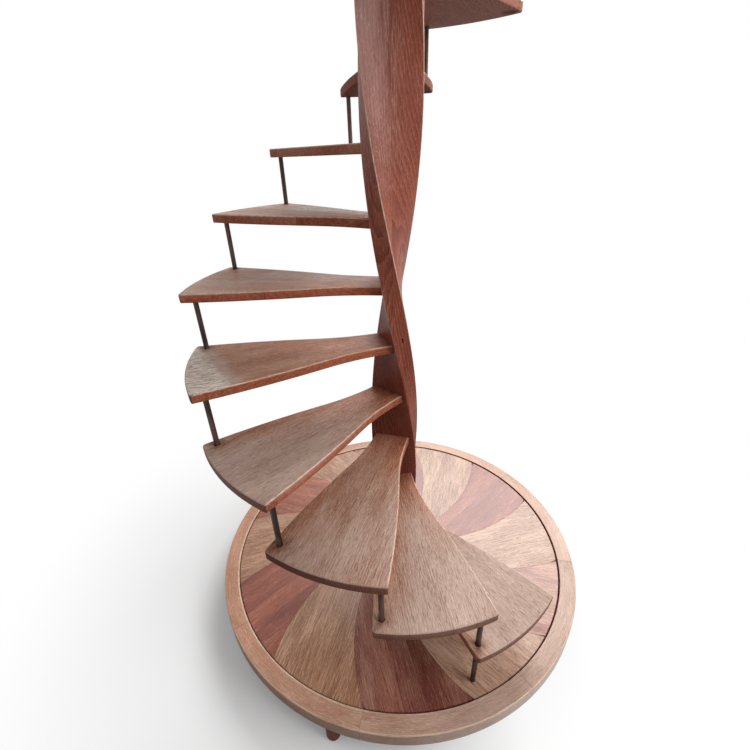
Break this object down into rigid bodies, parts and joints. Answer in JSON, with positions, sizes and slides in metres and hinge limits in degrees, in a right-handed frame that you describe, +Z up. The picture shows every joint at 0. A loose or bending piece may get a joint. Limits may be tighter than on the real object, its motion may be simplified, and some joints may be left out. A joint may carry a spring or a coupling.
{
  "type": "spiral staircase",
  "caption": "Open spiral stair: fan-shaped wooden treads on one twisted wooden beam, tied at their outer corners by steel rods, on a round inlaid wooden base with feet.",
  "frame": {"origin": "on the ground under the beam's axis, at the centre of the round base", "axes": "+Z up along the beam; the front, from which one steps on, is towards -Y and +X, and the stair climbs clockwise seen from above"},
  "size_m": [1.5438, 1.5438, 2.547],
  "materials": {
    "tread_wood": "oiled hardwood, grey-brown and open grained, worn paler at the arrises",
    "beam_wood": "oiled reddish-brown hardwood, satin",
    "rim_wood": "waxed tan hardwood, satin",
    "floor_light_wood": "waxed light hardwood, satin",
    "floor_red_wood": "waxed red-brown hardwood, satin",
    "underframe_wood": "plain planed softwood, unfinished",
    "foot_wood": "dark stained hardwood, satin",
    "rod_steel": "dark oxidised round bar, waxed"
  },
  "bodies": {
    "root": {"bearer_lower": "underframe_wood", "bearer_upper": "underframe_wood", "feet": "foot_wood", "floor_sectors_light": "floor_light_wood", "floor_sectors_red": "floor_red_wood", "rim_segments_even": "rim_wood", "rim_segments_odd": "rim_wood", "rod_01": "rod_steel", "rod_02": "rod_steel", "rod_03": "rod_steel", "rod_04": "rod_steel", "rod_05": "rod_steel", "rod_06": "rod_steel", "rod_07": "rod_steel", "rod_08": "rod_steel", "rod_09": "rod_steel", "rod_10": "rod_steel", "rod_11": "rod_steel", "tread_01": "tread_wood", "tread_02": "tread_wood", "tread_03": "tread_wood", "tread_04": "tread_wood", "tread_05": "tread_wood", "tread_06": "tread_wood", "tread_07": "tread_wood", "tread_08": "tread_wood", "tread_09": "tread_wood", "tread_10": "tread_wood", "tread_11": "tread_wood", "twisted_beam": "beam_wood"}
  },
  "joints": []
}
